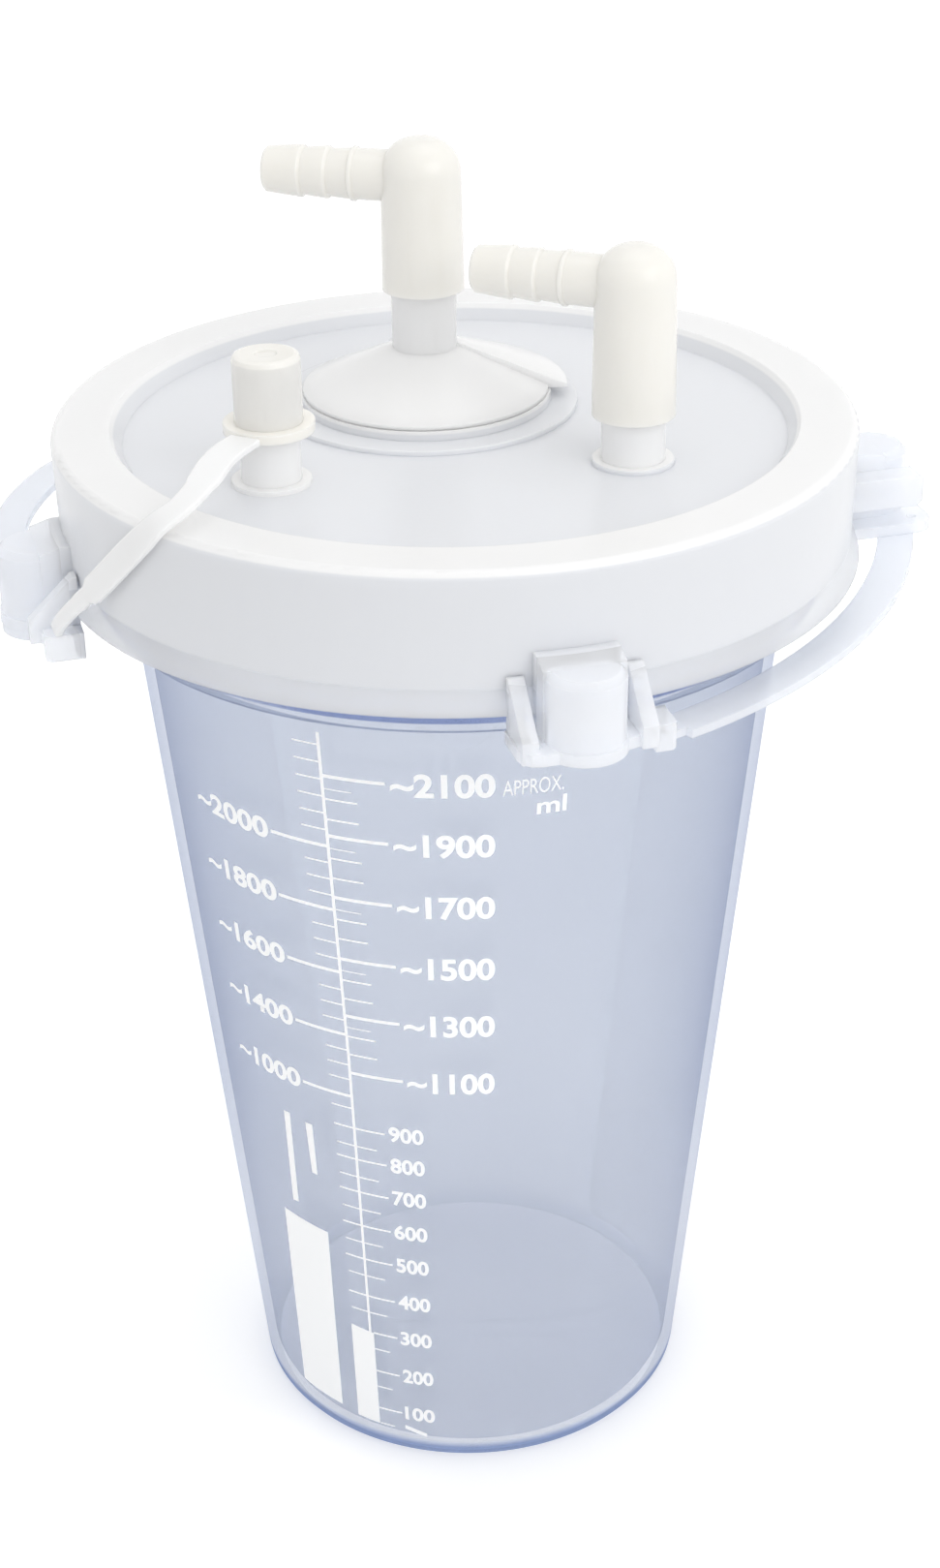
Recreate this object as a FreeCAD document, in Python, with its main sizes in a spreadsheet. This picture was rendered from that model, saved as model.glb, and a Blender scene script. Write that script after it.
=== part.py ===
import FreeCAD, Part
import Sketcher
import math
import os
import re

# A disposable suction canister: a tapered clear jar, a white lid that presses on, two swivelling
# elbows, a capped spigot and four caps on straps. Millimetres, +Z up. The origin is the centre
# of the jar's flat base, and -Y is the side that faces the user.

doc = FreeCAD.newDocument("suction_canister")
sheet = doc.addObject("Spreadsheet::Sheet", "Sizes")

SIZES = {
    # Jar
    "jar_base_radius": 51.65,
    "jar_neck_radius": 71.5,
    "jar_neck_height": 206.8,
    "jar_wall": 2.0,
    "jar_floor": 3.2,
    "jar_heel_radius": 3.0,
    "collar_step": 7.7,
    "collar_flare": 3.6,
    "collar_wall": 2.4,
    "collar_depth": 34.0,
    "rim_flange_reach": 3.7,
    "rim_flange_thickness": 2.6,
    # Lid shell
    "skirt_clearance": 0.4,
    "lid_skirt_wall": 2.1,
    "lid_draft": 0.6,
    "lid_top_thickness": 2.7,
    "lid_edge_radius": 1.8,
    "skirt_depth": 24.5,
    "lip_depth": 5.0,
    "lip_flare": 1.9,
    "land_width": 12.4,
    "deck_ramp": 2.6,
    "deck_depth": 3.6,
    "deck_thickness": 2.2,
    "plug_gap": 0.5,
    "plug_wall": 2.0,
    "plug_depth": 12.4,
    # Vacuum port, under the filter housing
    "vacuum_distance": 17.2,
    "vacuum_azimuth": 111.5,
    "boss_radius": 33.2,
    "boss_height": 1.1,
    "drum_radius": 27.4,
    "drum_height": 3.2,
    "drum_wall": 2.0,
    "grille_hole_radius": 3.0,
    "grille_ring_radius": 13.5,
    "grille_holes": 8,
    "filter_radius": 24.9,
    "filter_thickness": 0.9,
    "housing_rim_thickness": 0.9,
    "housing_rim_radius": 26.9,
    "housing_rise": 8.4,
    "housing_wall": 1.8,
    "housing_step_radius": 31.0,
    "housing_step_rise": 1.3,
    "housing_step_start": -4.0,
    "housing_step_angle": 110.0,
    "rib_inner_radius": 10.0,
    "rib_thickness": 1.0,
    "vacuum_spigot_radius": 7.05,
    "vacuum_spigot_height": 34.0,
    # Patient port
    "patient_distance": 42.6,
    "patient_azimuth": -30.3,
    "patient_spigot_radius": 6.7,
    "patient_spigot_height": 22.5,
    # Tandem port
    "tandem_distance": 48.0,
    "tandem_azimuth": -141.7,
    "tandem_spigot_radius": 6.25,
    "tandem_spigot_height": 25.7,
    "spigot_wall": 1.6,
    "spigot_foot_radius": 2.0,
    "spigot_foot_height": 0.9,
    # Elbows
    "swivel_clearance": 0.08,
    "seat_gap": 0.2,
    "vacuum_elbow_radius": 8.9,
    "vacuum_elbow_overlap": 8.1,
    "vacuum_elbow_rise": 23.9,
    "vacuum_elbow_azimuth": 164.8,
    "patient_elbow_radius": 8.7,
    "patient_elbow_overlap": 12.1,
    "patient_elbow_rise": 27.3,
    "patient_elbow_azimuth": 158.7,
    "barb_reach": 34.3,
    "elbow_draft": 0.45,
    "gate_radius": 1.2,
    "barb_tip_radius": 4.85,
    "barb_crest_radius": 5.55,
    "barb_waist_radius": 5.05,
    "barb_bead_radius": 5.75,
    "barb_root_radius": 5.4,
    "barb_lead": 8.2,
    "barb_pitch": 5.8,
    "barb_bore_radius": 3.4,
    # Caps
    "cap_radius": 7.0,
    "cap_height": 16.2,
    "cap_top_thickness": 1.5,
    "cap_clearance": 0.1,
    "cap_flange_radius": 9.4,
    "cap_flange_thickness": 2.0,
    "cap_roof_gap": 0.3,
    "parked_flange_radius": 8.2,
    # Lugs that hold the caps and carry the straps. The right one is longer than the others.
    "lug_azimuth": -75.0,
    "lug_distance": 91.7,
    "lug_drop": 6.1,
    "lug_plate_thickness": 2.5,
    "lug_plate_left": 14.0,
    "lug_plate_right": 15.0,
    "lug_plate_depth": 97.0,
    "lug_plate_taper": 3.6,
    "lug_corner_radius": 4.0,
    "lug_eye_radius": 1.0,
    "right_lug_reach": 5.3,
    "right_plate_reach": 10.5,
    "pocket_clearance": 0.3,
    "pocket_wall": 0.75,
    "pocket_height": 17.1,
    "pocket_roof": 1.2,
    "pocket_edge": 1.4,
    "hood_half_width": 8.4,
    "hood_rise": 1.4,
    "wing_thickness": 3.3,
    "wing_offset": 12.0,
    "wing_height": 13.8,
    "wing_reach": 95.6,
    "wing_foot": 4.6,
    "shoulder_thickness": 6.2,
    "shoulder_offset": 11.3,
    "shoulder_depth": 7.0,
    "shoulder_reach": 103.8,
    "shoulder_bevel": 1.2,
    "foot_start": 14.0,
    "foot_end": 18.4,
    "foot_reach": 93.0,
    "foot_drop": 2.5,
    "foot_rise": 3.2,
    # Straps
    "strap_width": 7.9,
    "strap_thickness": 1.8,
    "neck_width": 4.4,
    "neck_length": 2.6,
    "strap_gap": 0.3,
    "strap_foot_distance": 87.6,
    "front_bow_radius": 138.0,
    "right_bow_radius": 119.0,
    "taut_end_angle": 50.0,
    "back_bow_radius": 87.0,
    "slack_end_angle": -8.0,
    "slack_heading": 17.0,
    "slack_join": 55.0,
    # The strap of the tandem cap
    "tandem_strap_width": 5.4,
    "tandem_strap_thickness": 1.5,
    "tandem_tab_width": 7.0,
    "tandem_tab_length": 11.0,
    "tandem_leave": 243.0,
    "tandem_crossing": 227.5,
    "tandem_foot_distance": 90.5,
}

# What follows from those sizes: heights are stacked from the jar's neck up to the ports and
# down to the lugs, and radii from the jar's neck out to the lid.

DERIVED = {
    "collar_radius": "jar_neck_radius + collar_step",
    "collar_start": "jar_neck_height + collar_flare",
    "collar_height": "collar_start + collar_depth",
    "rim_flange_radius": "collar_radius + rim_flange_reach",
    "lid_radius": "rim_flange_radius + skirt_clearance + lid_skirt_wall + lid_draft",
    "lid_top_height": "collar_height + lid_top_thickness",
    "lip_start": "lid_top_height - skirt_depth",
    "lip_bottom": "lip_start - lip_depth",
    "plug_bottom": "collar_height - plug_depth",
    "deck_top": "lid_top_height - deck_depth",
    "deck_radius": "lid_radius - land_width - deck_ramp",
    "vacuum_spigot_top": "deck_top + vacuum_spigot_height",
    "patient_spigot_top": "deck_top + patient_spigot_height",
    "tandem_spigot_top": "deck_top + tandem_spigot_height",
    "vacuum_elbow_bottom": "vacuum_spigot_top - vacuum_elbow_overlap",
    "vacuum_elbow_corner": "vacuum_elbow_bottom + vacuum_elbow_rise",
    "patient_elbow_bottom": "patient_spigot_top - patient_elbow_overlap",
    "patient_elbow_corner": "patient_elbow_bottom + patient_elbow_rise",
    "tandem_flange_height": "tandem_spigot_top + cap_roof_gap + cap_top_thickness - cap_height",
    "lug_bottom": "lip_bottom - lug_drop",
    "pocket_top": "lug_bottom + pocket_height",
    "hood_top": "pocket_top + hood_rise",
    "wing_top": "lug_bottom + wing_height",
    "right_lug_distance": "lug_distance + right_lug_reach",
    "parked_height": "lug_bottom - cap_flange_thickness",
}

# A strap's bow starts at the foot of one lug and ends at the cap in the next, in the frame of the
# lug that it starts from. A taut bow is one arc. A slack one is a wide arc from the cap and a
# tight loop from there to the foot, which meet without a corner.

STRAPS = [("front", "taut", "right_lug_distance"), ("right", "taut", "lug_distance"),
          ("back", "slack", "lug_distance")]
for start, bow, distance in STRAPS:
    ends = {
        "end_x": "0.8 * parked_flange_radius * cos(%s_end_angle)" % bow,
        "end_y": "%s + 0.8 * parked_flange_radius * sin(%s_end_angle)" % (distance, bow),
    }
    taut = {
        "half_chord": "sqrt((S_end_x - strap_foot_distance)^2 + (S_end_y - foot_end)^2) / 2",
        "slope": "sqrt(S_bow_radius^2 - S_half_chord^2) / (2 * S_half_chord)",
        "bow_x": "(strap_foot_distance + S_end_x) / 2 - (S_end_y - foot_end) * S_slope",
        "bow_y": "(foot_end + S_end_y) / 2 + (S_end_x - strap_foot_distance) * S_slope",
        "bow_start": "atan2(foot_end - S_bow_y; strap_foot_distance - S_bow_x) / 1 deg",
        "bow_sweep": "2 * asin(S_half_chord / S_bow_radius) / 1 deg",
    }
    slack = {
        "bow_x": "S_end_x + S_bow_radius * sin(slack_heading)",
        "bow_y": "S_end_y - S_bow_radius * cos(slack_heading)",
        "bow_start": "slack_join",
        "bow_sweep": "90 + slack_heading - slack_join",
        "join_x": "S_bow_x + S_bow_radius * cos(slack_join)",
        "join_y": "S_bow_y + S_bow_radius * sin(slack_join)",
        "loop_span": "(S_join_x - strap_foot_distance)^2 + (S_join_y - foot_end)^2",
        "loop_lean": "(S_join_x - strap_foot_distance) * cos(slack_join)"
                     " + (S_join_y - foot_end) * sin(slack_join)",
        "loop_radius": "S_loop_span / (2 * S_loop_lean)",
        "loop_x": "S_join_x - S_loop_radius * cos(slack_join)",
        "loop_y": "S_join_y - S_loop_radius * sin(slack_join)",
        "loop_start": "atan2(foot_end - S_loop_y; strap_foot_distance - S_loop_x) / 1 deg",
        "loop_sweep": "slack_join - S_loop_start",
    }
    steps = {**ends, **(taut if bow == "taut" else slack)}
    for step, formula in steps.items():
        DERIVED["%s_%s" % (start, step)] = formula.replace("S_", start + "_")

cells = [(alias, str(number)) for alias, number in SIZES.items()]
cells += [(alias, "=" + formula) for alias, formula in DERIVED.items()]
for row, (alias, text) in enumerate(cells, start=1):
    sheet.set("A%d" % row, alias)
    sheet.set("B%d" % row, text)
    sheet.setAlias("B%d" % row, alias)
doc.recompute()


def sized(text):
    """An expression on the sheet, from words that are aliases there."""
    aliases = [alias for alias, content in cells]
    return re.sub(r"[a-z_]+", lambda word: "Sizes." * (word[0] in aliases) + word[0], text)


def origin_plane(body, role):
    return next(item for item in body.Origin.OriginFeatures if item.Role == role)


def new_body(name):
    body = doc.addObject("PartDesign::Body", name)
    body.Label = name
    return body


def new_sketch(body, name, role, lift="0", turn="0"):
    """A sketch on an origin plane, moved along its normal by lift and turned about it."""
    sketch = body.newObject("Sketcher::SketchObject", name)
    sketch.AttachmentSupport = [(origin_plane(body, role), "")]
    sketch.MapMode = "FlatFace"
    turned = FreeCAD.Rotation(FreeCAD.Vector(0, 0, 1), 1)
    sketch.AttachmentOffset = FreeCAD.Placement(FreeCAD.Vector(0, 0, 0), turned)
    sketch.setExpression("AttachmentOffset.Base.z", sized(lift))
    sketch.setExpression("AttachmentOffset.Rotation.Angle", sized(turn))
    return sketch


def bind(sketch, kind, *where_and_text):
    """A driving constraint whose value is an expression on the sheet."""
    where = where_and_text[:-1]
    index = sketch.addConstraint(Sketcher.Constraint(kind, *where, 1.0))
    sketch.setExpression("Constraints[%d]" % index, sized(where_and_text[-1]))


def draw_outline(sketch, corners):
    """A closed outline of straight edges; each corner is a pair of expressions."""
    count = len(corners)
    step = 2 * math.pi / count
    start = [FreeCAD.Vector(math.cos(step * i), math.sin(step * i), 0) for i in range(count)]
    first = sketch.GeometryCount
    for i in range(count):
        sketch.addGeometry(Part.LineSegment(start[i], start[(i + 1) % count]), False)
    for i in range(count):
        sketch.addConstraint(Sketcher.Constraint("Coincident", first + i, 2, first + (i + 1) % count, 1))
    for i, (across, up) in enumerate(corners):
        bind(sketch, "DistanceX", -1, 1, first + i, 1, across)
        bind(sketch, "DistanceY", -1, 1, first + i, 1, up)


def draw_circle(sketch, across, up, radius):
    first = sketch.GeometryCount
    sketch.addGeometry(Part.Circle(FreeCAD.Vector(1, 1, 0), FreeCAD.Vector(0, 0, 1), 1), False)
    bind(sketch, "DistanceX", -1, 1, first, 3, across)
    bind(sketch, "DistanceY", -1, 1, first, 3, up)
    bind(sketch, "Radius", first, radius)


def revolve(body, name, sketch, angle="360", kind="PartDesign::Revolution"):
    feature = body.newObject(kind, name)
    feature.Profile = sketch
    feature.ReferenceAxis = (sketch, ["V_Axis"])
    feature.setExpression("Angle", sized(angle))
    sketch.Visibility = False
    return feature


def pad(body, name, sketch, length, both_ways=False):
    feature = body.newObject("PartDesign::Pad", name)
    feature.Profile = sketch
    feature.setExpression("Length", sized(length))
    if both_ways:
        feature.Midplane = True
    return feature


def pocket(body, name, sketch, length, upwards=False):
    feature = body.newObject("PartDesign::Pocket", name)
    feature.Profile = sketch
    feature.setExpression("Length", sized(length))
    feature.Reversed = upwards
    return feature


def round_edges(body, name, radius, wanted):
    """Fillets the edges of the body's tip for which wanted(edge) is true."""
    doc.recompute()
    base = body.Tip
    names = ["Edge%d" % (i + 1) for i, edge in enumerate(base.Shape.Edges) if wanted(edge)]
    feature = body.newObject("PartDesign::Fillet", name)
    feature.Base = (base, names)
    feature.setExpression("Radius", sized(radius))
    return feature


def is_ring(edge, radius, height):
    curve = edge.Curve
    if not isinstance(curve, Part.Circle):
        return False
    return abs(curve.Radius - radius) < 0.01 and abs(curve.Center.z - height) < 0.01


def value(alias):
    return float(sheet.get(alias))


def stand_at(item, distance, azimuth, height, turn="0"):
    """Places an item by its distance and azimuth about the jar's axis."""
    item.Placement = FreeCAD.Placement(FreeCAD.Vector(), FreeCAD.Rotation(FreeCAD.Vector(0, 0, 1), 1))
    item.setExpression("Placement.Base.x", sized("%s * cos( %s )" % (distance, azimuth)))
    item.setExpression("Placement.Base.y", sized("%s * sin( %s )" % (distance, azimuth)))
    item.setExpression("Placement.Base.z", sized(height))
    item.setExpression("Placement.Rotation.Angle", sized(turn))


# Jar: injection moulded in clear polystyrene, tapered so that jars nest, with a wider collar
# that the lid grips and a flange round its rim.

jar = new_body("jar")
jar_section = new_sketch(jar, "jar_section", "XZ_Plane")
draw_outline(jar_section, [
    ("0", "0"),
    ("jar_base_radius", "0"),
    ("jar_neck_radius", "jar_neck_height"),
    ("collar_radius", "collar_start"),
    ("collar_radius", "collar_height - rim_flange_thickness"),
    ("rim_flange_radius", "collar_height - rim_flange_thickness"),
    ("rim_flange_radius", "collar_height"),
    ("collar_radius - collar_wall", "collar_height"),
    ("collar_radius - collar_wall", "collar_start + jar_wall"),
    ("jar_neck_radius - jar_wall", "jar_neck_height + jar_wall"),
    ("jar_base_radius - jar_wall", "jar_floor"),
    ("0", "jar_floor"),
])
revolve(jar, "jar_shell", jar_section)
heel = value("jar_base_radius")
round_edges(jar, "jar_heel", "jar_heel_radius", lambda edge: is_ring(edge, heel, 0))
floor_edge = value("jar_base_radius") - value("jar_wall")
round_edges(jar, "jar_floor_corner", "jar_heel_radius - 0.8",
            lambda edge: is_ring(edge, floor_edge, value("jar_floor")))
round_edges(jar, "collar_corner", "jar_wall * 0.6",
            lambda edge: is_ring(edge, value("collar_radius"), value("collar_start")))

# Lid: one translucent white moulding. The shell is turned, then the ports, the grille under
# the filter and the four lugs are added. Its own frame has the first lug on +X.

lid = new_body("lid")
lid_section = new_sketch(lid, "lid_section", "XZ_Plane")
skirt_foot = "lid_radius - lid_draft"
plug_radius = "collar_radius - collar_wall - plug_gap"
under_deck = "deck_top - deck_thickness"
draw_outline(lid_section, [
    ("0", "deck_top"),
    ("deck_radius", "deck_top"),
    ("deck_radius + deck_ramp", "lid_top_height"),
    ("lid_radius", "lid_top_height"),
    (skirt_foot, "lip_start"),
    (skirt_foot + " + lip_flare", "lip_bottom"),
    (skirt_foot + " + lip_flare - lid_skirt_wall", "lip_bottom"),
    (skirt_foot + " - lid_skirt_wall", "lip_start"),
    (skirt_foot + " - lid_skirt_wall", "lid_top_height - lid_top_thickness"),
    (plug_radius, "lid_top_height - lid_top_thickness"),
    (plug_radius, "plug_bottom"),
    (plug_radius + " - plug_wall", "plug_bottom"),
    (plug_radius + " - plug_wall", under_deck),
    ("0", under_deck),
])
revolve(lid, "lid_shell", lid_section)
rim = value("lid_radius")
round_edges(lid, "lid_edge", "lid_edge_radius", lambda edge: is_ring(edge, rim, value("lid_top_height")))

# The boss and drum that the filter housing stands on, turned about the vacuum port's axis.

vacuum_turn = "vacuum_azimuth - lug_azimuth"
patient_turn = "patient_azimuth - lug_azimuth"
tandem_turn = "tandem_azimuth - lug_azimuth"


def plan_circle(name, distance, turn, height, radius):
    """A circle in plan on the lid, centred at a distance and an azimuth of the lid's frame."""
    sketch = new_sketch(lid, name, "XY_Plane", height, turn)
    draw_circle(sketch, distance, "0", radius)
    return sketch


boss = plan_circle("boss_plan", "vacuum_distance", vacuum_turn, "deck_top - 0.5", "boss_radius")
pad(lid, "boss", boss, "boss_height + 0.5")
drum = plan_circle("drum_plan", "vacuum_distance", vacuum_turn, "deck_top + boss_height - 0.5",
                   "drum_radius")
pad(lid, "drum", drum, "drum_height - boss_height + 0.5")
filter_seat = plan_circle("filter_seat_plan", "vacuum_distance", vacuum_turn,
                          "deck_top + drum_height", "drum_radius - drum_wall")
pocket(lid, "filter_seat", filter_seat, "drum_height - boss_height")
hole = new_sketch(lid, "grille_hole_plan", "XY_Plane", "deck_top + boss_height", vacuum_turn)
draw_circle(hole, "vacuum_distance", "0", "grille_hole_radius")
for number in range(int(value("grille_holes"))):
    spoke = "%d * 360 / grille_holes" % number
    draw_circle(hole, "vacuum_distance + grille_ring_radius * cos( %s )" % spoke,
                "grille_ring_radius * sin( %s )" % spoke, "grille_hole_radius")
pocket(lid, "grille", hole, "boss_height + deck_thickness")

# Spigots of the patient and tandem ports, each with a small foot ring and a bore through the deck.

SPIGOTS = [
    ("patient", "patient_distance", patient_turn, "patient_spigot_radius", "patient_spigot_top"),
    ("tandem", "tandem_distance", tandem_turn, "tandem_spigot_radius", "tandem_spigot_top"),
]
for name, distance, turn, radius, top in SPIGOTS:
    foot = plan_circle(name + "_foot_plan", distance, turn, "deck_top - 0.5",
                       radius + " + spigot_foot_radius")
    pad(lid, name + "_foot", foot, "spigot_foot_height + 0.5")
    post = plan_circle(name + "_post_plan", distance, turn, "deck_top - 0.5", radius)
    pad(lid, name + "_post", post, "%s - deck_top + 0.5" % top)
    bore = plan_circle(name + "_bore_plan", distance, turn, top, radius + " - spigot_wall")
    pocket(lid, name + "_bore", bore, "%s - ( %s )" % (top, under_deck))

# A lug: plate, hood, round pocket that is open below, two wings and the strap's foot. Radial
# distances are along the lug's own X, and turn is the lug's angle from the first one.

skirt_inside = "lid_radius - lid_skirt_wall * 0.5"
pocket_radius = "cap_radius + pocket_clearance"


def radial_section(name, turn, across):
    """An upright sketch along a lug, moved off its middle by across."""
    sketch = new_sketch(lid, name, "XZ_Plane")
    upright = FreeCAD.Rotation(FreeCAD.Vector(0, 1, 0), 1)
    sketch.AttachmentOffset = FreeCAD.Placement(FreeCAD.Vector(), upright)
    sketch.setExpression("AttachmentOffset.Base.x", sized("0 - ( %s ) * sin( %s )" % (across, turn)))
    sketch.setExpression("AttachmentOffset.Base.z", sized("0 - ( %s ) * cos( %s )" % (across, turn)))
    sketch.setExpression("AttachmentOffset.Rotation.Angle", sized(turn))
    return sketch


def round_corner(across, up, radius, first, step=30):
    """Corners of a quarter round about a centre, from an angle on, as pairs of expressions."""
    return [("%s + %s * cos( %d )" % (across, radius, first + step * i),
             "%s + %s * sin( %d )" % (up, radius, first + step * i)) for i in range(4)]


def add_lug(label, turn, centre, depth, wing_corners, wing_thickness, wing_offset):
    plate = new_sketch(lid, label + "_plate_plan", "XY_Plane", "lug_bottom", turn)
    draw_outline(plate, [
        (skirt_inside, "0 - lug_plate_left"),
        *round_corner(depth + " - lug_corner_radius", "lug_corner_radius - lug_plate_left",
                      "lug_corner_radius", -90),
        (depth, "0"),
        (depth + " - lug_plate_taper", "lug_plate_right - 1"),
        (depth + " - lug_plate_taper - 1", "lug_plate_right"),
        (skirt_inside, "lug_plate_right"),
    ])
    parts = [pad(lid, label + "_plate", plate, "lug_plate_thickness")]
    nose = new_sketch(lid, label + "_nose_plan", "XY_Plane", "lug_bottom", turn)
    draw_circle(nose, centre, "0", pocket_radius + " + pocket_wall + 0.4")
    parts.append(pad(lid, label + "_nose", nose, "lug_plate_thickness"))
    hood = radial_section(label + "_hood_section", turn, "0")
    draw_outline(hood, [
        (skirt_inside, "lug_bottom"),
        (centre, "lug_bottom"),
        (centre, "pocket_top"),
        ("lid_radius + 1", "hood_top"),
        (skirt_inside, "hood_top"),
    ])
    parts.append(pad(lid, label + "_hood", hood, "2 * hood_half_width", both_ways=True))
    socket = new_sketch(lid, label + "_socket_plan", "XY_Plane", "lug_bottom", turn)
    draw_circle(socket, centre, "0", pocket_radius + " + pocket_wall")
    parts.append(pad(lid, label + "_socket", socket, "pocket_height - pocket_edge"))
    crown = new_sketch(lid, label + "_crown_plan", "XY_Plane", "pocket_top - pocket_edge", turn)
    draw_circle(crown, centre, "0", pocket_radius + " + pocket_wall")
    tapered = pad(lid, label + "_crown", crown, "pocket_edge")
    tapered.TaperAngle = -45
    parts.append(tapered)
    for side, offset in (("left", "0 - " + wing_offset), ("right", wing_offset)):
        wing = radial_section("%s_%s_wing_section" % (label, side), turn, offset)
        draw_outline(wing, wing_corners)
        parts.append(pad(lid, "%s_%s_wing" % (label, side), wing, wing_thickness, both_ways=True))
    foot = new_sketch(lid, label + "_foot_plan", "XY_Plane", "lug_bottom - foot_drop", turn)
    draw_outline(foot, [
        (skirt_inside, "foot_start"),
        ("foot_reach", "foot_start"),
        ("foot_reach", "foot_end - 1"),
        ("foot_reach - 1", "foot_end"),
        (skirt_inside, "foot_end"),
    ])
    parts.append(pad(lid, label + "_foot", foot, "foot_drop + foot_rise"))
    bore = new_sketch(lid, label + "_bore_plan", "XY_Plane", "lug_bottom", turn)
    draw_circle(bore, centre, "0", pocket_radius)
    parts.append(pocket(lid, label + "_bore", bore, "pocket_height - pocket_roof", upwards=True))
    eye = new_sketch(lid, label + "_eye_plan", "XY_Plane", "lug_bottom", turn)
    draw_circle(eye, depth + " - lug_corner_radius", "lug_corner_radius - lug_plate_left",
                "lug_eye_radius")
    parts.append(pocket(lid, label + "_eye", eye, "lug_plate_thickness", upwards=True))
    return parts


# Three lugs are alike. The fourth, on the right, reaches further out, and has flat shoulders
# above a gap where the others have sloping wings.

sloping_wing = [
    (skirt_inside, "lug_bottom"),
    ("wing_reach", "lug_bottom"),
    ("wing_reach", "lug_bottom + wing_foot"),
    ("lid_radius", "wing_top"),
    (skirt_inside, "wing_top"),
]
shoulder = [
    (skirt_inside, "wing_top - shoulder_depth"),
    ("shoulder_reach - shoulder_bevel", "wing_top - shoulder_depth"),
    ("shoulder_reach", "wing_top - shoulder_depth + shoulder_bevel"),
    ("shoulder_reach", "wing_top - shoulder_bevel / 2"),
    ("shoulder_reach - shoulder_bevel / 2", "wing_top"),
    (skirt_inside, "wing_top"),
]
add_lug("right_lug", "90", "right_lug_distance", "( lug_plate_depth + right_plate_reach )", shoulder,
        "shoulder_thickness", "shoulder_offset")
like_lugs = add_lug("lug", "0", "lug_distance", "lug_plate_depth", sloping_wing, "wing_thickness",
                    "wing_offset")
lugs = lid.newObject("PartDesign::PolarPattern", "lugs")
lugs.Originals = like_lugs
lugs.Axis = (origin_plane(lid, "Z_Axis"), [""])
lugs.Reversed = True
lugs.Angle = 180
lugs.Occurrences = 3
lid.Tip = lugs
stand_at(lid, "0", "0", "0", "lug_azimuth")

# Filter housing: an opaque white cone on the lid's drum, with a raised sector behind, the
# vacuum spigot on top and six ribs below that keep the filter on its grille.

housing = new_body("filter_housing")
housing_section = new_sketch(housing, "housing_section", "XZ_Plane")
spigot_base = "housing_rim_thickness + housing_rise"
spigot_bore = "vacuum_spigot_radius - spigot_wall"
spigot_length = "vacuum_spigot_height - drum_height"
draw_outline(housing_section, [
    (spigot_bore, spigot_base + " - housing_wall"),
    ("drum_radius - drum_wall - 3", "0"),
    ("housing_rim_radius", "0"),
    ("housing_rim_radius", "housing_rim_thickness"),
    ("vacuum_spigot_radius + 1.2", spigot_base),
    ("vacuum_spigot_radius", spigot_base + " + 0.5"),
    ("vacuum_spigot_radius", spigot_length),
    (spigot_bore, spigot_length),
])
revolve(housing, "housing_shell", housing_section)
step_section = new_sketch(housing, "step_section", "XZ_Plane")
draw_outline(step_section, [
    ("housing_rim_radius - 2", "0.2"),
    ("housing_step_radius", "0.2"),
    ("housing_step_radius", "housing_rim_thickness + 0.2"),
    ("vacuum_spigot_radius - 0.5", spigot_base + " + housing_step_rise"),
    ("vacuum_spigot_radius - 0.5", spigot_base + " - 0.5"),
])
revolve(housing, "raised_sector", step_section, "housing_step_angle")
rib_section = new_sketch(housing, "rib_section", "XZ_Plane")
rib_foot = "filter_thickness + boss_height - drum_height + 0.1"
draw_outline(rib_section, [
    ("rib_inner_radius", rib_foot),
    ("drum_radius - drum_wall - 1", rib_foot),
    ("drum_radius - drum_wall - 1", "0.4"),
    ("rib_inner_radius", "housing_rise * 0.6"),
])
rib = pad(housing, "rib", rib_section, "rib_thickness", both_ways=True)
ribs = housing.newObject("PartDesign::PolarPattern", "ribs")
ribs.Originals = [rib]
ribs.Axis = (origin_plane(housing, "Z_Axis"), [""])
ribs.Angle = 360
ribs.Occurrences = 6
housing.Tip = ribs
stand_at(housing, "vacuum_distance", "vacuum_azimuth", "deck_top + drum_height",
         "housing_step_start")

# Filter: a flat disc of membrane in the drum, over the grille.

filter_disc = doc.addObject("Part::Cylinder", "filter_disc")
filter_disc.Label = "filter_disc"
filter_disc.setExpression("Radius", sized("filter_radius"))
filter_disc.setExpression("Height", sized("filter_thickness"))
stand_at(filter_disc, "vacuum_distance", "vacuum_azimuth", "deck_top + boss_height")


def barb_outline(corner):
    """Half section of a hose barb along X: two ridges, a bead and a plain root."""
    ridge = "barb_reach - barb_lead"
    second = "barb_reach - barb_lead - barb_pitch"
    bead = "barb_reach - barb_lead - 2 * barb_pitch"
    steps = [
        ("0", "0"),
        ("barb_reach", "0"),
        ("barb_reach", "barb_tip_radius - 0.5"),
        ("barb_reach - 0.5", "barb_tip_radius"),
        (ridge, "barb_crest_radius"),
        (ridge + " - 0.6", "barb_waist_radius"),
        (second, "barb_crest_radius"),
        (second + " - 0.6", "barb_waist_radius"),
        (bead + " + 0.6", "barb_root_radius"),
        (bead + " + 0.3", "barb_bead_radius"),
        (bead + " - 0.3", "barb_bead_radius"),
        (bead + " - 0.6", "barb_root_radius"),
        ("0", "barb_root_radius"),
    ]
    return [(along, "%s + %s" % (corner, across)) for along, across in steps]


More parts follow.
